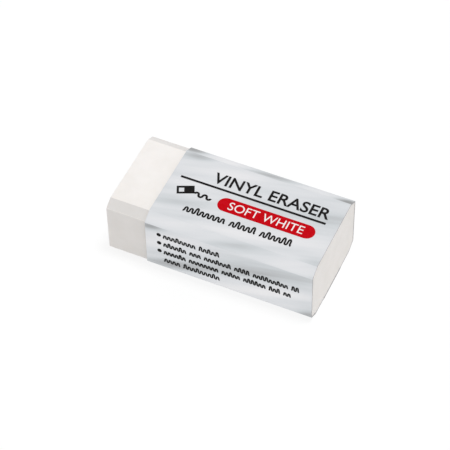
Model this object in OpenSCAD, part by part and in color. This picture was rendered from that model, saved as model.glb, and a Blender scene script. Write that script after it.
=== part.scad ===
// A small white vinyl eraser in a folded card sleeve.
// The block is a straight bar with a sloping face along each of its four long edges.
// The sleeve is one strip of foil-faced card, folded round the bar and glued to itself
// underneath. It grips the bar lightly, slides along it and draws off the plain end.
// X runs along the bar, from the bare working end to the end that is flush with the sleeve.
// The sleeve's glued lap stands on the plane z = 0.

/* [Block] */
// Length of the vinyl block
block_len = 41; // [38:0.5:60]
// Width of the block
block_w = 19.6; // [18:0.1:26]
// Height of the block
block_h = 13; // [12:0.5:18]
// Width across the bar of the sloping face along each long edge
slope_run = 1.9; // [1.2:0.1:2.4]
// Height of that sloping face
slope_rise = 1.1; // [0.8:0.1:1.8]
// Radius that eases the block's long corners
corner_r = 0.25; // [0.1:0.05:0.5]

/* [Sleeve] */
// Length of the sleeve, which ends flush with the block
sleeve_len = 33; // [28:0.5:36]
// Thickness of the card
card_t = 0.25; // [0.15:0.05:0.4]
// Sliding gap between the card and the block on each side
slip = 0.05; // [0.02:0.01:0.15]
// Inside radius of each fold in the card
fold_r = 0.3; // [0.1:0.05:0.6]
// Width of the glued lap under the block
lap_w = 8; // [5:0.5:9]
// Run over which the outer flap steps down over the inner one
lap_step = 0.6; // [0.3:0.1:1.2]

/* [Print on the top panel] */
// Thickness of the printed ink
ink_t = 0.03; // [0.02:0.01:0.05]
// Bare card between each end of the sleeve and the rule
rule_margin = 2; // [1:0.25:4]
// Width of the black rule
rule_w = 0.4; // [0.2:0.05:0.6]
// Distance of the rule behind the middle of the panel
rule_offset = 1.5; // [1:0.1:2]
// Bare card between the rule and the print on each side of it
rule_gap = 1; // [0.6:0.1:1.2]
// Height of the heading's blocks
heading_h = 2.7; // [1.5:0.1:3]
// Length of the heading, which ends level with the rule
heading_len = 22; // [12:0.5:23]
// Height of the red field with round ends
pill_h = 3.3; // [2:0.1:3.5]
// Bare card between the red field and the flush end of the sleeve
pill_margin = 3.4; // [2:0.1:5]
// Length of the block-and-wave sign in front of the red field
sign_len = 7; // [6.5:0.1:8]
// Bare card between the sign and the red field
sign_gap = 1.6; // [1:0.1:3]
// Width of the strokes in the sign
stroke_w = 0.4; // [0.25:0.05:0.45]
// Bare card between the red field and the line of bars in front of it
line_gap = 1.6; // [1:0.1:1.8]
// Height of the bars in that line
line_h = 0.9; // [0.5:0.05:1.1]

/* [Rows of bars on the front panel] */
// Distance from the flush end of the sleeve to the end of the longest row
row_margin = 2.4; // [1:0.1:4]
// Distance from the other end of the sleeve to the start of each row
row_indent = 3.6; // [3:0.1:5]
// Height of the bars
row_h = 0.75; // [0.4:0.05:0.9]
// Distance between two bars in a row
bar_gap = 0.6; // [0.3:0.05:1]
// Diameter of the dots beside the rows
dot_d = 0.8; // [0.5:0.05:1.2]

/* [Hidden] */

ARC_STEPS = 6;          // straight facets in each eased corner
PILL_STEPS = 12;        // facets in each quarter of the red field's ends
FLAT = 0.001;           // straight left between two arcs that would otherwise meet
HEADING_BLOCKS = 6;     // upright blocks in the heading
HEADING_FILL = 0.72;    // share of each block's pitch that is inked
HALF_WAVES = 4;         // half circles in the sign's wavy line
WAVE_STEPS = 10;        // straight facets in each of them
SIGN_TILT = 24;         // lean of the little block in the sign, in degrees
SIGN_SHARE = 0.38;      // share of the sign's length that the little block takes
SIGN_ASPECT = 1.8;      // its length over its height
BARS = [3, 2, 4.5, 1.5, 3.7, 2.5, 4.1]; // lengths that the bars take in turn, in bar heights
LINE_FIRST = 3;         // place in that list where the line on the top panel starts
ROW_SHIFT = 2;          // places in it from one row's start to the next row's
ROWS = [0.44, 1, 0.93, 0.5]; // share of the full length that each row fills, top row first
ROW_ABOVE = 0.55;       // bare card above the rows, as a share of their pitch
ROW_BELOW = 0.12;       // bare card below them
DOTTED = 3;             // rows that start with a dot
DOT_SIDES = 24;         // facets round each dot

// Angle of the sloping faces to the flat of the bar. For each mm that the section grows,
// their width and height grow by these shares.
slope_angle = atan(slope_rise / slope_run);
run_growth = 1 - tan(slope_angle / 2);
rise_growth = 1 - tan(45 - slope_angle / 2);

// Two plies of card lie under the block where the lap is glued.
block_z = 2 * card_t + slip;
card_out = slip + card_t;
panel_top = block_z + block_h + card_out;
panel_front = -block_w / 2 - card_out;
sleeve_x0 = block_len / 2 - sleeve_len;
sleeve_x1 = block_len / 2;

rule_x0 = sleeve_x0 + rule_margin;
rule_x1 = sleeve_x1 - rule_margin;
heading_y = rule_offset + rule_w / 2 + rule_gap;
pill_y = rule_offset - rule_w / 2 - rule_gap - pill_h / 2;
pill_x0 = rule_x0 + sign_len + sign_gap;
pill_x1 = sleeve_x1 - pill_margin;
line_x0 = rule_x0 + sign_len / 2;
line_x1 = pill_x1 - pill_h / 2;
line_y = pill_y - pill_h / 2 - line_gap - line_h;

// The rows share out the height of the front panel, with most of the bare card above them.
row_pitch = (block_h - 2 * slope_rise) / (len(ROWS) + ROW_ABOVE + ROW_BELOW);
row_top = block_z + block_h - slope_rise - (ROW_ABOVE + 0.5) * row_pitch;
row_x0 = sleeve_x0 + row_indent;
row_x1 = sleeve_x1 - row_margin;

function unit(v) = v / norm(v);
function turned(v, a) = [v.x * cos(a) - v.y * sin(a), v.x * sin(a) + v.y * cos(a)];

// The arc that rounds corner p, between the neighbours a and b, to radius r.
function eased(a, p, b, r, steps) =
    let (
        u = unit(a - p),
        v = unit(b - p),
        half = acos(u * v) / 2,
        centre = p + unit(u + v) * r / sin(half),
        first = p + u * r / tan(half) - centre,
        last = p + v * r / tan(half) - centre,
        turn = (180 - 2 * half) * sign(cross(first, last))
    )
    [for (k = [0 : steps]) centre + turned(first, turn * k / steps)];

// An outline with every corner rounded to its own radius. A radius of 0 keeps the corner sharp.
function rounded(outline, radii, steps) =
    let (n = len(outline))
    [for (i = [0 : n - 1])
        each radii[i] > 0
            ? eased(outline[(i + n - 1) % n], outline[i], outline[(i + 1) % n], radii[i], steps)
            : [outline[i]]];

// The bar's section grown outwards by d, as the corners of an eight-sided outline.
// It runs from the front end of the underside, up the back and down the front.
function section(d) =
    let (
        w = block_w / 2 + d,
        low = block_z - d,
        high = block_z + block_h + d,
        run = slope_run + d * run_growth,
        rise = slope_rise + d * rise_growth
    )
    [
        [-w + run, low], [w - run, low], [w, low + rise], [w, high - rise],
        [w - run, high], [-w + run, high], [-w, high - rise], [-w, low + rise]
    ];

function copies(r, n) = [for (i = [1 : n]) r];
function reversed(list) = [for (i = [len(list) - 1 : -1 : 0]) list[i]];

// Places a shape drawn across the bar at x, and draws it out along the bar.
module along_bar(x, length)
    translate([x, 0, 0])
        rotate([90, 0, 90])
            linear_extrude(height = length)
                children();

// Lays a flat shape on the top panel. Its x is the bar's x and its y runs to the back.
module on_top()
    translate([0, 0, panel_top])
        linear_extrude(height = ink_t)
            children();

// Lays a flat shape on the front panel. Its x is the bar's x and its y runs upwards.
module on_front()
    translate([0, panel_front, 0])
        rotate([90, 0, 0])
            linear_extrude(height = ink_t)
                children();

module eraser_block()
    color("#F4F2EF")
        along_bar(-block_len / 2, block_len)
            polygon(rounded(section(0), copies(corner_r, 8), ARC_STEPS));

// The space that the folded card leaves inside. The inner flap ends in a small step
// beside the slope where the outer flap passes under it.
module inside_of_card() {
    corners = section(slip);
    upper = block_z - slip;
    step = [[-lap_w / 2 - lap_step, upper], [-lap_w / 2, upper - card_t], [-lap_w / 2, upper]];
    outline = concat([corners[0]], step, [for (i = [1 : 7]) corners[i]]);
    radii = concat([fold_r], copies(0, 3), copies(fold_r, 7));
    polygon(rounded(outline, radii, ARC_STEPS));
}

// The outer face of the folded card. The outer flap stands one ply lower than the rest,
// and its free edge is at the back of the lap.
module outside_of_card() {
    corners = section(card_out);
    upper = block_z - card_out;
    lap = [
        [-lap_w / 2 - lap_step, upper], [-lap_w / 2, upper - card_t],
        [lap_w / 2, upper - card_t], [lap_w / 2, upper]
    ];
    outline = concat([corners[0]], lap, [for (i = [1 : 7]) corners[i]]);
    radius = fold_r + card_t;
    radii = concat([radius], copies(0, 4), copies(radius, 7));
    polygon(rounded(outline, radii, ARC_STEPS));
}

module sleeve()
    color("#D9DCE1")
        along_bar(sleeve_x0, sleeve_len)
            difference() {
                outside_of_card();
                inside_of_card();
            }

// A bar with round ends between two x positions, centred on y.
module round_ended(x0, x1, y, h) {
    corners = [[x0, y - h / 2], [x1, y - h / 2], [x1, y + h / 2], [x0, y + h / 2]];
    polygon(rounded(corners, copies(h / 2 - FLAT, 4), PILL_STEPS));
}

module red_print()
    color("#C8000F")
        on_top()
            round_ended(pill_x0, pill_x1, pill_y, pill_h);

// One edge of the sign's wavy stroke, half a stroke's width to the given side of its middle.
// The wave is a chain of half circles of radius r, turned up and down by turns.
function wave_edge(x0, r, side) =
    [for (j = [0 : HALF_WAVES - 1])
        let (
            up = j % 2 == 0 ? 1 : -1,
            reach = r + up * side * stroke_w / 2,
            steps = j < HALF_WAVES - 1 ? WAVE_STEPS - 1 : WAVE_STEPS
        )
        for (k = [0 : steps])
            [x0 + r + 2 * r * j, pill_y] - turned([reach, 0], -up * 180 * k / WAVE_STEPS)];

// A little leaning block that has rubbed out half of a wavy line, both drawn in strokes.
module sign_marks() {
    block_l = SIGN_SHARE * sign_len;
    size = [block_l, block_l / SIGN_ASPECT];
    translate([rule_x0 + block_l / 2 + stroke_w / 2, pill_y + stroke_w / 2])
        rotate(SIGN_TILT)
            difference() {
                square(size, center = true);
                square(size - 2 * [stroke_w, stroke_w], center = true);
            }
    wave_x0 = rule_x0 + block_l + 2.5 * stroke_w;
    radius = (rule_x0 + sign_len - stroke_w / 2 - wave_x0) / (2 * HALF_WAVES);
    polygon(concat(wave_edge(wave_x0, radius, -1), reversed(wave_edge(wave_x0, radius, 1))));
}

// Evenly spaced upright blocks that end level with the rule.
module heading() {
    pitch = heading_len / (HEADING_BLOCKS - 1 + HEADING_FILL);
    for (i = [0 : HEADING_BLOCKS - 1])
        translate([rule_x1 - heading_len + i * pitch, heading_y])
            square([HEADING_FILL * pitch, heading_h]);
}

// Bars of height h, one after another from x0 until the next would pass x1.
module row_of_bars(x0, x1, y, h, first) {
    length = BARS[first % len(BARS)] * h;
    if (x0 + length <= x1) {
        translate([x0, y])
            square([length, h]);
        row_of_bars(x0 + length + bar_gap, x1, y, h, first + 1);
    }
}

// The bars of each row, with a dot in front of the upper ones.
module rows_and_dots()
    for (i = [0 : len(ROWS) - 1]) {
        z = row_top - i * row_pitch;
        end = row_x0 + ROWS[i] * (row_x1 - row_x0);
        row_of_bars(row_x0, end, z - row_h / 2, row_h, i * ROW_SHIFT);
        if (i < DOTTED)
            translate([row_x0 - dot_d, z])
                circle(d = dot_d, $fn = DOT_SIDES);
    }

module black_print()
    color("#1A1A1A") {
        on_top() {
            translate([rule_x0, rule_offset - rule_w / 2])
                square([rule_x1 - rule_x0, rule_w]);
            heading();
            sign_marks();
            row_of_bars(line_x0, line_x1, line_y, line_h, LINE_FIRST);
        }
        on_front()
            rows_and_dots();
    }

eraser_block();
sleeve();
red_print();
black_print();
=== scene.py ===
import math

import bmesh
import bpy
from mathutils import Euler, Matrix, Vector


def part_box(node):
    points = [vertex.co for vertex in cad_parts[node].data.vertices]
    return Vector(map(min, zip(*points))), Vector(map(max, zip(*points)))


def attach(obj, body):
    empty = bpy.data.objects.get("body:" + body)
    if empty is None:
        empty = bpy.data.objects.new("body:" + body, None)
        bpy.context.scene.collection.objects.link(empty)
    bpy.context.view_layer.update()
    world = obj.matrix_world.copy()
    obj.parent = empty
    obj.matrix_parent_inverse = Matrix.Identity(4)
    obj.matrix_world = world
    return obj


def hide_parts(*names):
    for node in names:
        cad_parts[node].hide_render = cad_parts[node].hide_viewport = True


mm = 0.001
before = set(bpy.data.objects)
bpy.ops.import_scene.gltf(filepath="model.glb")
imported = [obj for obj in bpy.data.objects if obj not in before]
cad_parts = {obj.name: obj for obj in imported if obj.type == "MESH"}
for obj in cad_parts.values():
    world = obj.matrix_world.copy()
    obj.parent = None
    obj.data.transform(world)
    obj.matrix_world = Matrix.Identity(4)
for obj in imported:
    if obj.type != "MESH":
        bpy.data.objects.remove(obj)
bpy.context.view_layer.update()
blockLow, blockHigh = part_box("eraser_block")
sleeveLow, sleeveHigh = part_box("sleeve")
scene = bpy.context.scene
print("frame loaded with", len(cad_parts), "nodes")


# Shared helpers

def linearColour(hexValue):
    # An sRGB hex value as the linear colour that a socket takes
    channels = [int(hexValue[i:i + 2], 16) / 255 for i in (1, 3, 5)]
    return [c / 12.92 if c <= 0.04045 else ((c + 0.055) / 1.055) ** 2.4 for c in channels] + [1]


def addNode(tree, kind, values=None, links=None, **settings):
    node = tree.nodes.new(kind)
    for name, value in settings.items():
        setattr(node, name, value)
    for name, value in (values or {}).items():
        node.inputs[name].default_value = value
    for name, source in (links or {}).items():
        tree.links.new(source, node.inputs[name])
    return node


def newFinish(name, **constants):
    # A material with its shader's plain values set, ready for its pattern nodes
    material = bpy.data.materials.new(name)
    material.use_nodes = True
    tree = material.node_tree
    shader = tree.nodes["Principled BSDF"]
    for socket, value in constants.items():
        shader.inputs[socket.replace("_", " ")].default_value = value
    return material, tree, shader


def addRamp(tree, factor, stops):
    # A colour ramp from (position, hex value) pairs
    ramp = addNode(tree, "ShaderNodeValToRGB", links={"Fac": factor})
    elements = ramp.color_ramp.elements
    elements[0].position, elements[0].color = stops[0][0], linearColour(stops[0][1])
    elements[1].position, elements[1].color = stops[-1][0], linearColour(stops[-1][1])
    for position, hexValue in stops[1:-1]:
        elements.new(position).color = linearColour(hexValue)
    return ramp.outputs["Color"]


def newPiece(name, mesh, body, slot, *replaced):
    # A finished piece at the origin that rides on a body and stands for CAD nodes
    piece = bpy.data.objects.new(name, mesh)
    scene.collection.objects.link(piece)
    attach(piece, body)
    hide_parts(*replaced)
    return piece


def plainMesh(carrier):
    # What a carrier object's modifiers make of it, as a mesh of its own. The carrier goes.
    graph = bpy.context.evaluated_depsgraph_get()
    mesh = bpy.data.meshes.new_from_object(carrier.evaluated_get(graph), depsgraph=graph)
    bpy.data.objects.remove(carrier)
    return mesh


def grownMesh(base, tree, settings):
    # Runs a node tree on a base mesh and returns the result as a plain mesh
    carrier = bpy.data.objects.new(tree.name, base)
    scene.collection.objects.link(carrier)
    modifier = carrier.modifiers.new(tree.name, "NODES")
    modifier.node_group = tree
    for item in tree.interface.items_tree:
        if item.in_out == "INPUT" and item.name in settings:
            modifier[item.identifier] = settings[item.name]
    return plainMesh(carrier)


def newTree(name, sockets):
    # An empty node tree with named inputs and one geometry output
    tree = bpy.data.node_groups.new(name, "GeometryNodeTree")
    for socketName, kind in sockets.items():
        tree.interface.new_socket(name=socketName, in_out="INPUT", socket_type="NodeSocket" + kind)
    tree.interface.new_socket(name="Geometry", in_out="OUTPUT", socket_type="NodeSocketGeometry")
    return tree, addNode(tree, "NodeGroupInput").outputs


# Camera, at the angle of the photograph

view = {
    "azimuth": 25.3,  # degrees round from the front panel towards the flush end
    "elevation": 49.6,
    "roll": -1.15,
    "distance": 369 * mm,
    "lens": 159.8,  # on a sensor 36 wide, for a square frame
    "toRight": -1.06 * mm,  # sidestep of the camera in its own frame
    "toTop": -0.1 * mm,
}


def addCamera():
    camera = bpy.data.objects.new("photoCamera", bpy.data.cameras.new("photoCamera"))
    scene.collection.objects.link(camera)
    scene.camera = camera
    camera.data.lens = view["lens"]
    camera.data.sensor_width = 36
    camera.data.clip_start = 10 * mm
    camera.data.clip_end = 20
    azimuth = math.radians(view["azimuth"])
    elevation = math.radians(view["elevation"])
    turn = Euler((math.pi / 2 - elevation, 0, azimuth)).to_matrix()
    turn = turn @ Matrix.Rotation(math.radians(view["roll"]), 3, "Z")
    middle = Vector((0, 0, (blockLow.z + blockHigh.z) / 2))
    camera.location = middle + turn @ Vector((view["toRight"], view["toTop"], view["distance"]))
    camera.rotation_euler = turn.to_euler()


addCamera()
print("camera placed")


# Studio: a white surround, one soft lamp from above and a white floor

studio = {
    "fill": 0.56,  # light from all round that falls on matt surfaces
    "lamp": 0.455,  # light from the lamp on a face turned to it
    "lampTurn": (math.radians(-3), math.radians(11), 0),  # leans to the back and, more, to the flush end
    "lampWidth": math.radians(14),
    "floorGlow": 0.82,  # share of the floor's white that shadow can't darken, seen directly
    "glowStrength": 1.03,  # a little over full white, so that no grey is left away from the eraser
    "floorWhite": "#F5F5F5",
    "floorSize": 4,
}


def seenDirectly(tree):
    # 1 for rays that look at the background itself, in a mirror or through glass
    path = addNode(tree, "ShaderNodeLightPath").outputs
    mirrored = addNode(
        tree, "ShaderNodeMath", operation="MAXIMUM",
        links={0: path["Is Camera Ray"], 1: path["Is Glossy Ray"]},
    )
    return addNode(
        tree, "ShaderNodeMath", operation="MAXIMUM",
        links={0: mirrored.outputs[0], 1: path["Is Transmission Ray"]},
    ).outputs[0]


def lightStudio():
    world = bpy.data.worlds.new("whiteSurround")
    scene.world = world
    world.use_nodes = True
    tree = world.node_tree
    strength = addNode(
        tree, "ShaderNodeMapRange", values={"To Min": studio["fill"], "To Max": 1},
        links={"Value": seenDirectly(tree)},
    )
    background = tree.nodes["Background"]
    background.inputs["Color"].default_value = (1, 1, 1, 1)
    tree.links.new(strength.outputs["Result"], background.inputs["Strength"])

    lamp = bpy.data.objects.new("softLamp", bpy.data.lights.new("softLamp", "SUN"))
    scene.collection.objects.link(lamp)
    lamp.data.energy = studio["lamp"] * math.pi  # pi lights a white face fully
    lamp.data.angle = studio["lampWidth"]
    lamp.rotation_euler = studio["lampTurn"]
    lamp.visible_glossy = False  # the foil mirrors the white surround and not the lamp


def layFloor():
    half = studio["floorSize"] / 2
    mesh = bpy.data.meshes.new("whiteFloor")
    corners = [(-half, -half, 0), (half, -half, 0), (half, half, 0), (-half, half, 0)]
    mesh.from_pydata(corners, [], [(0, 1, 2, 3)])
    floor = bpy.data.objects.new("whiteFloor", mesh)
    scene.collection.objects.link(floor)
    material = bpy.data.materials.new("whitePaperSweep")
    material.use_nodes = True
    tree = material.node_tree
    tree.nodes.remove(tree.nodes["Principled BSDF"])
    paper = addNode(tree, "ShaderNodeBsdfDiffuse", values={"Color": linearColour(studio["floorWhite"])})
    glow = addNode(
        tree, "ShaderNodeEmission", values={"Color": (1, 1, 1, 1), "Strength": studio["glowStrength"]}
    )
    share = addNode(
        tree, "ShaderNodeMath", operation="MULTIPLY", values={1: studio["floorGlow"]},
        links={0: seenDirectly(tree)},
    )
    mixed = addNode(
        tree, "ShaderNodeMixShader",
        links={0: share.outputs[0], 1: paper.outputs[0], 2: glow.outputs[0]},
    )
    tree.links.new(mixed.outputs[0], tree.nodes["Material Output"].inputs["Surface"])
    mesh.materials.append(material)


lightStudio()
layFloor()
scene.view_settings.view_transform = "Standard"
print("studio lit")


# Vinyl block: one straight bar, moulded as a strip and cut to length

block = {
    "slopeRun": 1.9 * mm,  # the sloping face along each long edge, across the bar and in height
    "slopeRise": 1.1 * mm,
    "cornerRadius": 0.25 * mm,
    "cutRadius": 0.1 * mm,  # the knife leaves the end edges almost sharp
    "roundedFrom": math.radians(60),  # edges that turn more than this get that radius
    "slopeMargin": 0.08,  # how far a face's upward share may be off and still count as a slope
    "endShare": 0.9,  # a face that points along the bar by more than this was cut
    "white": "#F6F2EF",
    "shade": "#F1EDE9",
    "shadedSlopeWhite": "#E5E2E0",  # the sloping faces, with painted shade: a greyer copy of the white, for the less light that falls on them
    "shadedSlopeShade": "#DFDCD9",
    "cloud": 5 * mm,
    "grain": 0.25 * mm,  # drawn twice as coarse as the real matt skin, to show
    "cutPitch": 0.3 * mm,  # drag lines of the knife, drawn coarse enough to show
    "cutLine": 12 * mm,  # length of a drag line
    "cutLean": math.radians(3),
}


def newVinyl(name, **constants):
    # Soft plasticised vinyl: light sinks in a little at its edges
    return newFinish(
        name, IOR=1.53, Subsurface_Weight=0.15, Subsurface_Radius=(1, 0.92, 0.85),
        Subsurface_Scale=0.5 * mm, **constants,
    )


def vinylPattern(tree, shader, place, shade, white):
    # Faint cloudy whites of a chalk-filled plastic
    clouds = addNode(
        tree, "ShaderNodeTexNoise", values={"Scale": 1 / block["cloud"], "Detail": 3, "Roughness": 0.6},
        links={"Vector": place},
    )
    colour = addRamp(tree, clouds.outputs["Fac"], [(0.35, shade), (0.65, white)])
    tree.links.new(colour, shader.inputs["Base Color"])
    return clouds


def mouldedVinyl(name, shade, white):
    # The vinyl's skin from a mould: matt and even, a touch glossier where the clouds are thin
    material, tree, shader = newVinyl(name, Specular_IOR_Level=0.4)
    place = addNode(tree, "ShaderNodeTexCoord").outputs["Object"]
    clouds = vinylPattern(tree, shader, place, shade, white)
    skin = addNode(
        tree, "ShaderNodeTexNoise", values={"Scale": 1 / block["grain"], "Detail": 2},
        links={"Vector": place},
    )
    roughness = addNode(
        tree, "ShaderNodeMapRange", values={"To Min": 0.46, "To Max": 0.6},
        links={"Value": clouds.outputs["Fac"]},
    )
    tree.links.new(roughness.outputs["Result"], shader.inputs["Roughness"])
    bump = addNode(
        tree, "ShaderNodeBump", values={"Strength": 0.25, "Distance": 0.02 * mm},
        links={"Height": skin.outputs["Fac"]},
    )
    tree.links.new(bump.outputs["Normal"], shader.inputs["Normal"])
    return material


def knifeCutVinyl():
    # The same vinyl where a blade parted the strip: drier, with fine drag lines down the cut
    material, tree, shader = newVinyl("knifeCutVinyl", Roughness=0.62, Specular_IOR_Level=0.35)
    place = addNode(tree, "ShaderNodeTexCoord").outputs["Object"]
    vinylPattern(tree, shader, place, block["shade"], block["white"])
    dragged = addNode(
        tree, "ShaderNodeMapping", vector_type="TEXTURE",
        values={
            "Scale": (block["cutPitch"], block["cutPitch"], block["cutLine"]),
            "Rotation": (block["cutLean"], 0, 0),
        },
        links={"Vector": place},
    )
    lines = addNode(
        tree, "ShaderNodeTexNoise", values={"Scale": 1, "Detail": 3, "Roughness": 0.6},
        links={"Vector": dragged.outputs["Vector"]},
    )
    bump = addNode(
        tree, "ShaderNodeBump", values={"Strength": 0.5, "Distance": 0.04 * mm},
        links={"Height": lines.outputs["Fac"]},
    )
    tree.links.new(bump.outputs["Normal"], shader.inputs["Normal"])
    return material


def barTree():
    # A rectangle with its corners cut off, eased and drawn out along the bar. The cuts are made on a
    # rectangle stretched in height, so that they slope less than 45 degrees once it is squeezed back.
    # The slopes, in a greyer copy of the vinyl that paints shade on them, and the ends then get materials
    # of their own, told by which way their faces point.
    tree, given = newTree("vinylBar", {
        "Geometry": "Geometry", "Start": "Vector", "End": "Vector", "Width": "Float", "Height": "Float",
        "Slope Run": "Float", "Slope Rise": "Float", "Corner Radius": "Float", "Slope Upward": "Float",
        "Slope Margin": "Float", "End Share": "Float", "Skin": "Material", "Slope": "Material",
        "Cut": "Material",
    })
    steepness = addNode(
        tree, "ShaderNodeMath", operation="DIVIDE", links={0: given["Slope Rise"], 1: given["Slope Run"]}
    )
    stretched = addNode(
        tree, "ShaderNodeMath", operation="DIVIDE", links={0: given["Height"], 1: steepness.outputs[0]}
    )
    outline = addNode(
        tree, "GeometryNodeCurvePrimitiveQuadrilateral",
        links={"Width": given["Width"], "Height": stretched.outputs[0]},
    )
    cornersOff = addNode(
        tree, "GeometryNodeFilletCurve", mode="POLY", values={"Count": 1},
        links={"Curve": outline.outputs[0], "Radius": given["Slope Run"]},
    )
    squeeze = addNode(
        tree, "ShaderNodeCombineXYZ", values={"X": 1, "Z": 1}, links={"Y": steepness.outputs[0]}
    )
    sloped = addNode(
        tree, "GeometryNodeTransform",
        links={"Geometry": cornersOff.outputs[0], "Scale": squeeze.outputs[0]},
    )
    eased = addNode(
        tree, "GeometryNodeFilletCurve", mode="POLY", values={"Count": 5},
        links={"Curve": sloped.outputs[0], "Radius": given["Corner Radius"]},
    )
    line = addNode(
        tree, "GeometryNodeCurvePrimitiveLine", links={"Start": given["Start"], "End": given["End"]}
    )
    swept = addNode(
        tree, "GeometryNodeCurveToMesh", values={"Fill Caps": True},
        links={"Curve": line.outputs[0], "Profile Curve": eased.outputs[0]},
    )
    real = addNode(tree, "GeometryNodeRealizeInstances", links={"Geometry": swept.outputs[0]})
    skinned = addNode(
        tree, "GeometryNodeSetMaterial", links={"Geometry": real.outputs[0], "Material": given["Skin"]}
    )
    normal = addNode(tree, "GeometryNodeInputNormal")
    facing = addNode(tree, "ShaderNodeSeparateXYZ", links={0: normal.outputs[0]})
    endwise = addNode(tree, "ShaderNodeMath", operation="ABSOLUTE", links={0: facing.outputs["X"]})
    isCut = addNode(
        tree, "FunctionNodeCompare", operation="GREATER_THAN",
        links={0: endwise.outputs[0], 1: given["End Share"]},
    )
    cut = addNode(
        tree, "GeometryNodeSetMaterial",
        links={"Geometry": skinned.outputs[0], "Selection": isCut.outputs[0], "Material": given["Cut"]},
    )
    upward = addNode(tree, "ShaderNodeMath", operation="ABSOLUTE", links={0: facing.outputs["Z"]})
    isSlope = addNode(
        tree, "ShaderNodeMath", operation="COMPARE",
        links={0: upward.outputs[0], 1: given["Slope Upward"], 2: given["Slope Margin"]},
    )
    # painted shade: the sloping faces take the greyer copy of the vinyl
    shadedSlopes = addNode(
        tree, "GeometryNodeSetMaterial",
        links={"Geometry": cut.outputs[0], "Selection": isSlope.outputs[0], "Material": given["Slope"]},
    )
    addNode(tree, "NodeGroupOutput", links={0: shadedSlopes.outputs[0]})
    return tree


def makeBlock():
    middle = (blockLow.z + blockHigh.z) / 2
    mesh = grownMesh(bpy.data.meshes.new("barStart"), barTree(), {
        "Start": (blockLow.x, 0, middle), "End": (blockHigh.x, 0, middle),
        "Width": blockHigh.y - blockLow.y, "Height": blockHigh.z - blockLow.z,
        "Slope Run": block["slopeRun"], "Slope Rise": block["slopeRise"],
        "Corner Radius": block["cornerRadius"],
        "Slope Upward": block["slopeRun"] / math.hypot(block["slopeRun"], block["slopeRise"]),
        "Slope Margin": block["slopeMargin"], "End Share": block["endShare"],
        "Skin": mouldedVinyl("mouldedVinyl", block["shade"], block["white"]),
        # painted shade: a greyer copy of the moulded vinyl for the sloping faces
        "Slope": mouldedVinyl("paintedShadeVinyl", block["shadedSlopeShade"], block["shadedSlopeWhite"]),
        "Cut": knifeCutVinyl(),
    })
    mesh.polygons.foreach_set("use_smooth", [True] * len(mesh.polygons))
    piece = newPiece("vinylBlock", mesh, "block", "vinyl", "eraser_block")
    edges = piece.modifiers.new("cutEdges", "BEVEL")
    edges.width = block["cutRadius"]
    edges.segments = 3
    edges.limit_method = "ANGLE"
    edges.angle_limit = block["roundedFrom"]
    piece.modifiers.new("flatFaces", "WEIGHTED_NORMAL").keep_sharp = True


makeBlock()
print("vinyl block made")


# Sleeve: one strip of foil-faced card, folded round the bar and glued to itself underneath

card = {
    # Two plies lie under the block and one beside it
    "thickness": blockLow.z - (sleeveHigh.y - blockHigh.y),
    "foldRadius": 0.3 * mm,  # inside each fold
    "lapWidth": 8 * mm,
    "lapStep": 0.6 * mm,  # run over which the outer flap steps down over the inner one
    "stepRadius": 0.5 * mm,
    "flapClearance": 0.1 * mm,  # between the inner flap's free edge and that step
    "spacing": 0.45 * mm,  # of the mesh, fine enough for the soft streaks of painted reflection
    "foldSteps": 5,
    "sharpFrom": math.radians(40),  # the cut edges stay sharp and the folds are smooth
    "wisp": (17, 2, 1),  # length and width of the faint wisps between the streaks, on the flat card in mm
    "wispTurn": math.radians(14),
    "wispDepth": 0.2,
    "toneReach": 1.2,  # streaks and wisps together run from minus this to plus this
    "fibre": 0.5 * mm,
    "pulp": 0.2 * mm,
}
slip = sleeveHigh.y - blockHigh.y - card["thickness"]

# Painted reflection: soft light and dark streaks in the foil's colour, standing in for what it mirrors,
# where the photograph shows them. Each has the middle of the streak along the sleeve and up or back
# across its panel, its half length and half width in millimetres, its rise in degrees, and its tone,
# where minus is dark and plus is light.
paintedReflectionStreaks = {
    "front": [
        (24, 8.2, 13, 2.3, 15, -0.5),
        (10, 3.2, 7, 1.6, 17, -0.35),
        (4, 1.2, 7, 1.3, 12, -0.3),
        (1, 10.5, 2.6, 0.8, 10, -0.9),
        (32.5, 0.4, 3, 1.3, 25, -0.7),
        (27, 4.2, 9, 1.3, 17, 0.5),
        (20, 1.4, 9, 1.1, 14, 0.4),
        (5, 8.2, 8, 1.2, 17, 0.4),
        (1, 5.6, 4, 1.1, 14, 0.3),
    ],
    "frontSlope": [
        (4, 1.3, 8, 1, 6, 0.3),
        (19, 1.2, 7, 1, 6, -0.3),
        (29, 1, 6, 1, 8, 0.3),
    ],
    "top": [
        (3, 3.2, 6, 1, 14, -0.3),
        (2.5, 15.4, 3.5, 0.8, 10, -0.6),
        (31.5, 11.4, 4.5, 1.3, 16, -0.4),
        (22, 9.4, 5, 0.9, 14, -0.2),
        (32.5, 0.6, 3, 1, 15, -0.35),
        (10, 14, 7, 1.2, 12, 0.35),
        (27, 4, 8, 1.8, 14, 0.4),
        (4, 9, 5, 1.6, 14, 0.3),
        (16, 1, 7, 1, 8, 0.3),
    ],
    "backSlope": [
        (0.8, 1.4, 2.6, 1.4, 10, -1.1),
        (17, 1.1, 5, 1.4, 8, -0.7),
        (32.6, 0.5, 2.4, 1.3, 12, -1.4),
        (8, 1, 4, 1.6, 10, 0.4),
        (25, 1.2, 4, 1.6, 10, 0.3),
    ],
    "back": [
        (10, 6, 12, 2, 15, -0.6),
        (24, 3, 9, 1.5, 15, -0.4),
        (20, 8, 9, 1.2, 15, 0.5),
        (6, 2, 6, 1.3, 15, 0.4),
    ],
}


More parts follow.
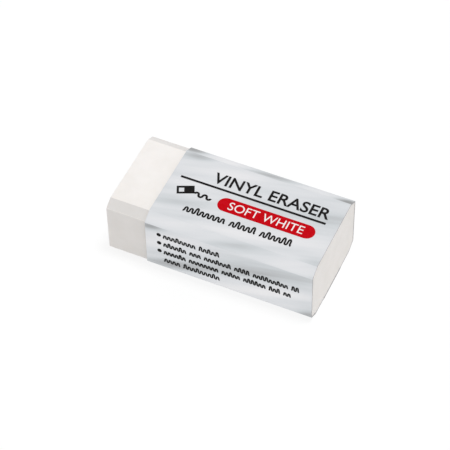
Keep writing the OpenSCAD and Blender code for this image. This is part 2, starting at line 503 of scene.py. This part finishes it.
def barCorners(growth):
    # Corners of the bar's section grown outwards, as (y, z), from the front end of the underside and up
    # the back
    side = blockHigh.y + growth
    low = blockLow.z - growth
    high = blockHigh.z + growth
    angle = math.atan2(block["slopeRise"], block["slopeRun"])
    run = block["slopeRun"] + growth * (1 - math.tan(angle / 2))
    rise = block["slopeRise"] + growth * (1 - math.tan(math.pi / 4 - angle / 2))
    return [Vector(point) for point in (
        (-side + run, low), (side - run, low), (side, low + rise), (side, high - rise),
        (side - run, high), (-side + run, high), (-side, high - rise), (-side, low + rise),
    )]


def easedCorner(before, corner, after, radius):
    # Points along the arc that rounds one corner of an outline
    u = (before - corner).normalized()
    v = (after - corner).normalized()
    half = u.angle(v) / 2
    centre = corner + (u + v).normalized() * radius / math.sin(half)
    first = (corner + u * radius / math.tan(half) - centre).normalized()
    last = (corner + v * radius / math.tan(half) - centre).normalized()
    steps = card["foldSteps"]
    return [centre + first.slerp(last, k / steps).normalized() * radius for k in range(steps + 1)]


def cardSection():
    # The middle of the card's thickness, from the outer flap's free edge, up the front, over the top,
    # down the back and in to the inner flap's free edge. Also where each panel starts on the flat card.
    ply = card["thickness"]
    corners = barCorners(slip + ply / 2)
    low = corners[0].y
    lap = card["lapWidth"] / 2
    stepStart = Vector((-lap - card["lapStep"], low))
    outerFlap = [Vector((lap, low - ply)), Vector((-lap, low - ply)), stepStart]
    freeEdge = Vector((-lap + card["flapClearance"], low))
    turns = outerFlap + corners[:1] + corners[:0:-1] + [freeEdge]
    names = [None, None, None, "frontUnder", "front", "frontSlope", "top"]
    names += ["backSlope", "back", "backUnder", "under"]
    points = [turns[0]]
    creases = {}
    for i in range(1, len(turns)):
        stretch = [turns[i]]
        if i < len(turns) - 1:
            radius = card["foldRadius"] + ply / 2 if names[i] else card["stepRadius"]
            stretch = easedCorner(turns[i - 1], turns[i], turns[i + 1], radius)
        flat = stretch[0] - points[-1]
        pieces = max(1, math.ceil(flat.length / card["spacing"]))
        start = points[-1]
        points += [start + flat * k / pieces for k in range(1, pieces)] + stretch
    along = [0]
    for before, after in zip(points, points[1:]):
        along.append(along[-1] + (after - before).length)
    for name, corner in zip(names, turns):
        if name:
            nearest = min(range(len(points)), key=lambda k: (points[k] - corner).length)
            creases[name] = along[nearest]
    return points, along, creases


def cardTree():
    # Draws a section's points out along the bar as one skin and keeps each point's place on the flat card
    tree, given = newTree("foldedCard", {
        "Geometry": "Geometry", "Start": "Float", "End": "Float", "Rings": "Int", "Millimetre": "Float",
        "Card": "Material",
    })
    section = addNode(tree, "GeometryNodeAttributeDomainSize", links={"Geometry": given["Geometry"]})
    grid = addNode(
        tree, "GeometryNodeMeshGrid",
        links={"Vertices X": given["Rings"], "Vertices Y": section.outputs["Point Count"]},
    )
    index = addNode(tree, "GeometryNodeInputIndex")
    across = addNode(
        tree, "FunctionNodeIntegerMath", operation="MODULO",
        links={0: index.outputs[0], 1: section.outputs["Point Count"]},
    )
    ring = addNode(
        tree, "FunctionNodeIntegerMath", operation="DIVIDE",
        links={0: index.outputs[0], 1: section.outputs["Point Count"]},
    )
    lastRing = addNode(
        tree, "FunctionNodeIntegerMath", operation="SUBTRACT", values={1: 1}, links={0: given["Rings"]}
    )
    along = addNode(
        tree, "ShaderNodeMapRange",
        links={
            "Value": ring.outputs[0], "From Max": lastRing.outputs[0],
            "To Min": given["Start"], "To Max": given["End"],
        },
    )
    place = addNode(tree, "GeometryNodeInputPosition")
    sectionPoint = addNode(
        tree, "GeometryNodeSampleIndex", data_type="FLOAT_VECTOR", domain="POINT",
        links={"Geometry": given["Geometry"], "Value": place.outputs[0], "Index": across.outputs[0]},
    )
    parts = addNode(tree, "ShaderNodeSeparateXYZ", links={0: sectionPoint.outputs[0]})
    folded = addNode(
        tree, "ShaderNodeCombineXYZ",
        links={"X": along.outputs[0], "Y": parts.outputs["Y"], "Z": parts.outputs["Z"]},
    )
    flatPlace = addNode(
        tree, "ShaderNodeCombineXYZ", links={"X": along.outputs[0], "Y": parts.outputs["X"]}
    )
    inMillimetres = addNode(
        tree, "ShaderNodeVectorMath", operation="DIVIDE",
        links={0: flatPlace.outputs[0], 1: given["Millimetre"]},
    )
    ofPoints = addNode(
        tree, "GeometryNodeFieldOnDomain", data_type="FLOAT_VECTOR", domain="POINT",
        links={0: inMillimetres.outputs[0]},
    )
    marked = addNode(
        tree, "GeometryNodeStoreNamedAttribute", data_type="FLOAT2", domain="CORNER",
        values={"Name": "flatCard"}, links={"Geometry": grid.outputs[0], "Value": ofPoints.outputs[0]},
    )
    moved = addNode(
        tree, "GeometryNodeSetPosition",
        links={"Geometry": marked.outputs[0], "Position": folded.outputs[0]},
    )
    real = addNode(tree, "GeometryNodeRealizeInstances", links={"Geometry": moved.outputs[0]})
    faced = addNode(
        tree, "GeometryNodeSetMaterial", links={"Geometry": real.outputs[0], "Material": given["Card"]}
    )
    addNode(tree, "NodeGroupOutput", links={0: faced.outputs[0]})
    return tree


def paintedReflectionTone(alongCard, acrossCard, creases):
    # Painted reflection: the sum of the streaks on the panel that a point of the flat card belongs to
    tone = 0
    order = sorted(creases, key=creases.get)
    panel = next((name for name in reversed(order) if acrossCard >= creases[name]), None)
    for middle, across, halfLength, halfWidth, rise, depth in paintedReflectionStreaks.get(panel, []):
        offset = Vector((alongCard - middle, (acrossCard - creases[panel]) / mm - across))
        offset.rotate(Matrix.Rotation(-math.radians(rise), 2))
        tone += depth * math.exp(-(offset.x / halfLength) ** 2 - (offset.y / halfWidth) ** 2)
    return tone


def silverFoil():
    # Aluminium foil laminated on board and calendered: bright satin metal with faint wisps along the
    # roll, and painted reflection: soft light and dark streaks in its colour that stand in for what it
    # mirrors
    material, tree, shader = newFinish("laminatedFoil", Metallic=1, Roughness=0.36)
    flat = addNode(tree, "ShaderNodeUVMap", uv_map="flatCard").outputs["UV"]
    streaks = addNode(tree, "ShaderNodeAttribute", attribute_name="paintedReflectionTone").outputs["Fac"]
    rolled = addNode(
        tree, "ShaderNodeMapping", vector_type="TEXTURE",
        values={"Rotation": (0, 0, card["wispTurn"]), "Scale": card["wisp"]}, links={"Vector": flat},
    )
    wisps = addNode(
        tree, "ShaderNodeTexNoise", values={"Scale": 1, "Detail": 2, "Roughness": 0.5},
        links={"Vector": rolled.outputs["Vector"]},
    )
    depth = card["wispDepth"]
    wispTone = addNode(
        tree, "ShaderNodeMapRange",
        values={"From Min": 0.25, "From Max": 0.75, "To Min": -depth, "To Max": depth},
        links={"Value": wisps.outputs["Fac"]},
    )
    tone = addNode(
        tree, "ShaderNodeMath", operation="ADD", links={0: streaks, 1: wispTone.outputs["Result"]}
    )
    level = addNode(
        tree, "ShaderNodeMapRange",
        values={"From Min": -card["toneReach"], "From Max": card["toneReach"]},
        links={"Value": tone.outputs[0]},
    )
    # painted reflection: the lamp is hidden from the foil and the surround is even white, so this colour
    # carries the foil's light and dark streaks
    colour = addRamp(tree, level.outputs["Result"], [
        (0, "#98999A"), (0.22, "#B4B6B8"), (0.4, "#D0D4D7"),
        (0.52, "#DEE0E3"), (0.68, "#E9E9EB"), (1, "#F4F3F3"),
    ])
    tree.links.new(colour, shader.inputs["Base Color"])
    bump = addNode(
        tree, "ShaderNodeBump", values={"Strength": 0.3, "Distance": 0.15 * mm},
        links={"Height": wisps.outputs["Fac"]},
    )
    tree.links.new(bump.outputs["Normal"], shader.inputs["Normal"])
    return material


def paperLining():
    # The unlaminated side of the board: dull greyish white with short paper fibres
    material, tree, shader = newFinish("paperLining", Roughness=0.9, Specular_IOR_Level=0.25)
    place = addNode(tree, "ShaderNodeTexCoord").outputs["Object"]
    fibres = addNode(
        tree, "ShaderNodeTexNoise", values={"Scale": 1 / card["fibre"], "Detail": 4, "Distortion": 1.5},
        links={"Vector": place},
    )
    colour = addRamp(tree, fibres.outputs["Fac"], [(0.3, "#D9D6CF"), (0.7, "#E8E6E1")])
    tree.links.new(colour, shader.inputs["Base Color"])
    bump = addNode(
        tree, "ShaderNodeBump", values={"Strength": 0.4, "Distance": 0.02 * mm},
        links={"Height": fibres.outputs["Fac"]},
    )
    tree.links.new(bump.outputs["Normal"], shader.inputs["Normal"])
    return material


def boardEdge():
    # The cut through the board: grey pulp, torn a little between its layers
    material, tree, shader = newFinish("cutBoardEdge", Roughness=0.85, Specular_IOR_Level=0.25)
    place = addNode(tree, "ShaderNodeTexCoord").outputs["Object"]
    pulp = addNode(
        tree, "ShaderNodeTexNoise", values={"Scale": 1 / card["pulp"], "Detail": 3},
        links={"Vector": place},
    )
    colour = addRamp(tree, pulp.outputs["Fac"], [(0.3, "#A8A8AA"), (0.7, "#BEBEC0")])
    tree.links.new(colour, shader.inputs["Base Color"])
    return material


def thickened(mesh):
    # Gives the card's middle surface its thickness, with the lining inside and the board at the cuts
    carrier = bpy.data.objects.new("cardBoard", mesh)
    scene.collection.objects.link(carrier)
    board = carrier.modifiers.new("board", "SOLIDIFY")
    board.thickness = card["thickness"]
    board.offset = 0
    board.use_even_offset = True
    board.material_offset = 1
    board.material_offset_rim = 2
    return plainMesh(carrier)


def makeSleeve():
    points, along, creases = cardSection()
    base = bpy.data.meshes.new("cardSection")
    base.from_pydata([(s, point.x, point.y) for s, point in zip(along, points)], [], [])
    rings = round((sleeveHigh.x - sleeveLow.x) / card["spacing"]) + 1
    mesh = grownMesh(base, cardTree(), {
        "Start": sleeveLow.x, "End": sleeveHigh.x, "Rings": rings, "Millimetre": mm, "Card": silverFoil(),
    })
    # painted reflection: each point's streak tone, read by the foil's colour
    reflectionTones = mesh.attributes.new("paintedReflectionTone", "FLOAT", "POINT")
    for vertex in mesh.vertices:
        sheetPlace = along[vertex.index % len(points)]
        reflectionTones.data[vertex.index].value = paintedReflectionTone((vertex.co.x - sleeveLow.x) / mm, sheetPlace, creases)
    mesh.polygons.foreach_set("use_smooth", [True] * len(mesh.polygons))
    mesh.materials.append(paperLining())
    mesh.materials.append(boardEdge())
    mesh = thickened(mesh)
    mesh.set_sharp_from_angle(angle=card["sharpFrom"])
    piece = newPiece("foilSleeve", mesh, "sleeve", "silver_card", "sleeve")
    piece.modifiers.new("flatPanels", "WEIGHTED_NORMAL").keep_sharp = True


makeSleeve()
print("foil sleeve folded")


# Print: plain words, a rule, a small sign, a red field and rows of wavy strokes, all films of ink on the
# foil. Places are millimetres on the panel, from the sleeve's start and up or back from its lower or
# front crease.

inkFilm = (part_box("red_print")[1].z - sleeveHigh.z) / mm
inkFoot = -0.005  # films start inside what they lie on, so that no two faces share a plane
inkSkip = 0.35 * mm  # size of the patches where the ink is a little thinner
mergeDistance = 0.0001  # joins the front, the back and the sides of a letter
heading = {
    "word": "VINYL ERASER", "left": 7.5, "right": 30.55, "foot": 10.6, "height": 2.6,
    "weight": 0.016,  # outlines pushed out, as a share of the type size
}
redField = {
    "left": 10.62, "right": 29.72, "foot": 4.98, "height": 3.22, "endSteps": 14,
    "filmShare": 0.7,  # the red film is thinner than the rest, and its white words come up to full height
    "word": "SOFT WHITE", "wordLeft": 12.8, "wordRight": 27.55, "wordFoot": 5.65, "wordHeight": 1.88,
}
rule = {"left": 1.75, "right": 30.55, "foot": 9.42, "height": 0.45}
sign = {
    "left": 2.3, "right": 9.3, "middle": 6.75, "stroke": 0.42,
    "barLength": 3.3, "barHeight": 1.85, "lean": 24,  # a little bar that rubs out a wavy line
    "window": 0.42,  # share of the bar's length that stands bare of its sleeve
    "waveGap": 0.6,  # where the wave starts past the bar, as a share of the stroke
    "halfWaves": 4, "waveSteps": 10,
}
strokeLengths = (8, 5, 6, 3, 7, 4, 9, 2, 6)  # in waves, taken in turn
waveForm = {
    "reach": 0.5,  # how far a wave swings up and down, as a share of its row's height less the stroke
    "tallReach": 0.95,  # and up in a tall one
    "tallShare": 0.3,
    "lean": -0.075,  # sidestep that makes the strokes upright and the turns round, as a share of a wave
    "steps": 16,  # points along each wave
}
tagline = {
    "left": 5.5, "rights": (26.8,), "feet": (2.12,), "height": 1.3, "wave": 0.96, "stroke": 0.35,
    "gap": 0.85, "seed": 3,
}
rows = {
    "left": 3.55, "rights": (14.8, 30.5, 28.9, 14.8),  # the last row runs on from the one above it
    "feet": (8.05, 5.78, 3.6, 1.42), "height": 1.05, "wave": 0.74, "stroke": 0.3,
    "gap": 0.62, "seed": 8,
    "dotPlace": 2.72, "dotWidth": 0.88, "dotted": 3, "dotSides": 24,
    "dotRise": 0.65,  # height of a dot's middle, as a share of its row's height
}
panelPlaces = {
    "top": Matrix.Translation((sleeveLow.x, blockLow.y + block["slopeRun"], sleeveHigh.z)),
    "front": Matrix.Translation((sleeveLow.x, sleeveLow.y, blockLow.z + block["slopeRise"]))
    @ Matrix.Rotation(math.pi / 2, 4, "X"),
}


def ink(name, thick, thin, roughness):
    # Offset ink on foil: an even colour, a little thinner where the roller skipped, under a faint gloss
    material, tree, shader = newFinish(name, Roughness=roughness, IOR=1.5, Specular_IOR_Level=0.05)
    place = addNode(tree, "ShaderNodeTexCoord").outputs["Object"]
    skips = addNode(
        tree, "ShaderNodeTexNoise", values={"Scale": 1 / inkSkip, "Detail": 3}, links={"Vector": place}
    )
    colour = addRamp(tree, skips.outputs["Fac"], [(0.3, thin), (0.6, thick)])
    tree.links.new(colour, shader.inputs["Base Color"])
    bump = addNode(
        tree, "ShaderNodeBump", values={"Strength": 0.15, "Distance": 0.01 * mm},
        links={"Height": skips.outputs["Fac"]},
    )
    tree.links.new(bump.outputs["Normal"], shader.inputs["Normal"])
    return material


def addSlab(form, outline, low, high):
    # A closed slab over an outline that runs anticlockwise
    bottom = [form.verts.new((x, y, low)) for x, y in outline]
    top = [form.verts.new((x, y, high)) for x, y in outline]
    form.faces.new(bottom[::-1])
    form.faces.new(top)
    for i in range(len(outline)):
        form.faces.new((bottom[i - 1], bottom[i], top[i], top[i - 1]))


def addFrame(form, outer, inner, low, high):
    # A closed slab over an outline with a window of as many corners, both anticlockwise
    rings = [
        [form.verts.new((x, y, z)) for x, y in outline]
        for outline, z in ((outer, low), (outer, high), (inner, high), (inner, low))
    ]
    for here, there in zip(rings, rings[1:] + rings[:1]):
        for i in range(len(outer)):
            form.faces.new((here[i - 1], here[i], there[i], there[i - 1]))


def addWord(form, word, left, right, foot, height, low, high, weight=0):
    # A word in plain capitals as a closed film that fills the given box. Returns its faces.
    curve = bpy.data.curves.new(word, "FONT")
    curve.body = word
    curve.offset = weight
    curve.extrude = 0.5
    curve.resolution_u = 8
    carrier = bpy.data.objects.new(word, curve)
    scene.collection.objects.link(carrier)
    mesh = plainMesh(carrier)
    lowest = [min(v.co[axis] for v in mesh.vertices) for axis in range(3)]
    extent = [max(v.co[axis] for v in mesh.vertices) - lowest[axis] for axis in range(3)]
    fit = Matrix.Diagonal(((right - left) / extent[0], height / extent[1], (high - low) / extent[2], 1))
    mesh.transform(Matrix.Translation((left, foot, low)) @ fit @ Matrix.Translation([-v for v in lowest]))
    before = len(form.faces)
    form.from_mesh(mesh)
    bmesh.ops.remove_doubles(form, verts=form.verts, dist=mergeDistance)
    form.faces.ensure_lookup_table()
    return form.faces[before:]


def scribbleTree():
    # A wavy stroke along each line of the base mesh: upright strokes that round over into one another,
    # some of them taller. Chance picks the tall ones, by wave, line and seed.
    tree, given = newTree("wavyStrokes", {
        "Geometry": "Geometry", "Wave": "Float", "Reach": "Float", "Tall Reach": "Float",
        "Tall Share": "Float", "Lean": "Float", "Stroke": "Float", "Film": "Float", "Spacing": "Float",
        "Seed": "Float", "Ink": "Material",
    })
    lines = addNode(tree, "GeometryNodeMeshToCurve", links={"Mesh": given["Geometry"]})
    fine = addNode(
        tree, "GeometryNodeResampleCurve", mode="LENGTH",
        links={"Curve": lines.outputs[0], "Length": given["Spacing"]},
    )
    along = addNode(tree, "GeometryNodeSplineParameter").outputs["Length"]
    waves = addNode(tree, "ShaderNodeMath", operation="DIVIDE", links={0: along, 1: given["Wave"]})
    angle = addNode(
        tree, "ShaderNodeMath", operation="MULTIPLY_ADD", values={1: 2 * math.pi, 2: -math.pi / 2},
        links={0: waves.outputs[0]},
    )
    swing = addNode(tree, "ShaderNodeMath", operation="SINE", links={0: angle.outputs[0]})
    wholeWave = addNode(tree, "ShaderNodeMath", operation="FLOOR", links={0: waves.outputs[0]})
    line = addNode(tree, "GeometryNodeCurveOfPoint")
    wavePlace = addNode(
        tree, "ShaderNodeCombineXYZ",
        links={"X": wholeWave.outputs[0], "Y": line.outputs[0], "Z": given["Seed"]},
    )
    chance = addNode(tree, "ShaderNodeTexWhiteNoise", links={"Vector": wavePlace.outputs[0]})
    isTall = addNode(
        tree, "ShaderNodeMath", operation="LESS_THAN",
        links={0: chance.outputs[0], 1: given["Tall Share"]},
    )
    isUp = addNode(
        tree, "ShaderNodeMath", operation="GREATER_THAN", values={1: 0}, links={0: swing.outputs[0]}
    )
    tallUp = addNode(
        tree, "ShaderNodeMath", operation="MULTIPLY", links={0: isTall.outputs[0], 1: isUp.outputs[0]}
    )
    reach = addNode(
        tree, "ShaderNodeMapRange",
        links={"Value": tallUp.outputs[0], "To Min": given["Reach"], "To Max": given["Tall Reach"]},
    )
    lift = addNode(
        tree, "ShaderNodeMath", operation="MULTIPLY", links={0: swing.outputs[0], 1: reach.outputs[0]}
    )
    doubled = addNode(
        tree, "ShaderNodeMath", operation="MULTIPLY", values={1: 2}, links={0: angle.outputs[0]}
    )
    bend = addNode(tree, "ShaderNodeMath", operation="SINE", links={0: doubled.outputs[0]})
    sidestep = addNode(
        tree, "ShaderNodeMath", operation="MULTIPLY", links={0: bend.outputs[0], 1: given["Lean"]}
    )
    offset = addNode(
        tree, "ShaderNodeCombineXYZ", links={"X": sidestep.outputs[0], "Y": lift.outputs[0]}
    )
    wavy = addNode(
        tree, "GeometryNodeSetPosition", links={"Geometry": fine.outputs[0], "Offset": offset.outputs[0]}
    )
    nib = addNode(
        tree, "GeometryNodeCurvePrimitiveQuadrilateral",
        links={"Width": given["Stroke"], "Height": given["Film"]},
    )
    strokes = addNode(
        tree, "GeometryNodeCurveToMesh", values={"Fill Caps": True},
        links={"Curve": wavy.outputs[0], "Profile Curve": nib.outputs[0]},
    )
    real = addNode(tree, "GeometryNodeRealizeInstances", links={"Geometry": strokes.outputs[0]})
    inked = addNode(
        tree, "GeometryNodeSetMaterial", links={"Geometry": real.outputs[0], "Material": given["Ink"]}
    )
    addNode(tree, "NodeGroupOutput", links={0: inked.outputs[0]})
    return tree


def addScribbles(form, layout, tree, colour):
    # Grows one layout's rows of wavy strokes into a form. The waves of a row are stretched a little so
    # that it ends where it should.
    middleOfFilm = (inkFilm + inkFoot) / 2
    swingRoom = layout["height"] - layout["stroke"]
    used = 0
    for right, foot in zip(layout["rights"], layout["feet"]):
        lengths = []
        room = right - layout["left"]
        while room > 2 * layout["wave"]:
            wanted = strokeLengths[used % len(strokeLengths)]
            lengths.append(min(wanted, round(room / layout["wave"])))
            room -= lengths[-1] * layout["wave"] + layout["gap"]
            used += 1
        wave = (right - layout["left"] - layout["gap"] * (len(lengths) - 1)) / sum(lengths)
        x = layout["left"]
        middle = foot + layout["height"] / 2
        ends = []
        for waves in lengths:
            ends += [(x, middle, middleOfFilm), (x + waves * wave, middle, middleOfFilm)]
            x += waves * wave + layout["gap"]
        lines = bpy.data.meshes.new("strokeLines")
        lines.from_pydata(ends, [(i, i + 1) for i in range(0, len(ends), 2)], [])
        form.from_mesh(grownMesh(lines, tree, {
            "Wave": wave, "Reach": waveForm["reach"] * swingRoom,
            "Tall Reach": waveForm["tallReach"] * swingRoom, "Tall Share": waveForm["tallShare"],
            "Lean": waveForm["lean"] * wave, "Stroke": layout["stroke"], "Film": inkFilm - inkFoot,
            "Spacing": wave / waveForm["steps"], "Seed": layout["seed"] + used, "Ink": colour,
        }))


def box(left, right, foot, height):
    return [(left, foot), (right, foot), (right, foot + height), (left, foot + height)]


def layPrint(name, form, panel, slot, replaced, *colours):
    # Moves a form from panel millimetres to its panel and makes it a piece
    form.transform(panelPlaces[panel] @ Matrix.Scale(mm, 4))
    bmesh.ops.recalc_face_normals(form, faces=form.faces)
    mesh = bpy.data.meshes.new(name)
    form.to_mesh(mesh)
    form.free()
    for colour in colours:
        mesh.materials.append(colour)
    newPiece(name, mesh, "sleeve", slot, replaced)


def printHeading(colour):
    form = bmesh.new()
    addWord(
        form, heading["word"], heading["left"], heading["right"], heading["foot"], heading["height"],
        inkFoot, inkFilm, heading["weight"],
    )
    layPrint("headingWords", form, "top", "black_ink", "black_print", colour)
    form = bmesh.new()
    addSlab(form, box(rule["left"], rule["right"], rule["foot"], rule["height"]), inkFoot, inkFilm)
    layPrint("headingRule", form, "top", "black_ink", "black_print", colour)


def printSign(colour):
    form = bmesh.new()
    length = sign["barLength"]
    height = sign["barHeight"]
    stroke = sign["stroke"]
    turn = Matrix.Rotation(math.radians(sign["lean"]), 2)
    centre = Vector((sign["left"] + length / 2, sign["middle"] + stroke / 2))
    start = -length / 2
    outer = box(start, length / 2, -height / 2, height)
    windowEnd = start + sign["window"] * length
    inner = box(start + stroke, windowEnd, -height / 2 + stroke, height - 2 * stroke)
    outer = [centre + turn @ Vector(point) for point in outer]
    inner = [centre + turn @ Vector(point) for point in inner]
    addFrame(form, outer, inner, inkFoot, inkFilm)

    waveStart = sign["left"] + length + sign["waveGap"] * stroke
    radius = (sign["right"] - stroke / 2 - waveStart) / (2 * sign["halfWaves"])
    edges = []
    for side in (-1, 1):
        edge = []
        for j in range(sign["halfWaves"]):
            up = 1 if j % 2 == 0 else -1
            reach = radius + up * side * stroke / 2
            for k in range(sign["waveSteps"] + (j == sign["halfWaves"] - 1)):
                angle = math.pi * k / sign["waveSteps"]
                x = waveStart + radius * (1 + 2 * j) - reach * math.cos(angle)
                edge.append((x, sign["middle"] + up * reach * math.sin(angle)))
        edges.append(edge)
    addSlab(form, edges[0] + edges[1][::-1], inkFoot, inkFilm)
    layPrint("barAndWaveSign", form, "top", "black_ink", "black_print", colour)


def printRedField(colour, lettering):
    form = bmesh.new()
    radius = redField["height"] / 2
    middle = redField["foot"] + radius
    outline = []
    roundEnds = (redField["right"] - radius, -math.pi / 2), (redField["left"] + radius, math.pi / 2)
    for centre, start in roundEnds:
        for k in range(redField["endSteps"] + 1):
            angle = start + math.pi * k / redField["endSteps"]
            outline.append((centre + radius * math.cos(angle), middle + radius * math.sin(angle)))
    fieldTop = redField["filmShare"] * inkFilm
    addSlab(form, outline, inkFoot, fieldTop)
    letters = addWord(
        form, redField["word"], redField["wordLeft"], redField["wordRight"], redField["wordFoot"],
        redField["wordHeight"], fieldTop + inkFoot, inkFilm,
    )
    for face in letters:
        face.material_index = 1
    layPrint("redField", form, "top", "red_ink", "red_print", colour, lettering)


def printRows(colour):
    tree = scribbleTree()
    form = bmesh.new()
    addScribbles(form, tagline, tree, colour)
    layPrint("taglineScribble", form, "top", "black_ink", "black_print", colour)
    form = bmesh.new()
    addScribbles(form, rows, tree, colour)
    for foot in rows["feet"][:rows["dotted"]]:
        outline = []
        for k in range(rows["dotSides"]):
            angle = 2 * math.pi * k / rows["dotSides"]
            outline.append((
                rows["dotPlace"] + rows["dotWidth"] / 2 * math.cos(angle),
                foot + rows["dotRise"] * rows["height"] + rows["dotWidth"] / 2 * math.sin(angle),
            ))
        addSlab(form, outline, inkFoot, inkFilm)
    layPrint("rowScribbles", form, "front", "black_ink", "black_print", colour)


blackInk = ink("blackOffsetInk", "#161515", "#242322", 0.4)
printHeading(blackInk)
printSign(blackInk)
redInk = ink("redOffsetInk", "#C1000C", "#C80A1C", 0.35)
whiteInk = ink("whiteOffsetInk", "#F7F5F4", "#EDEBEA", 0.4)
printRedField(redInk, whiteInk)
printRows(blackInk)
print("print laid on the foil")
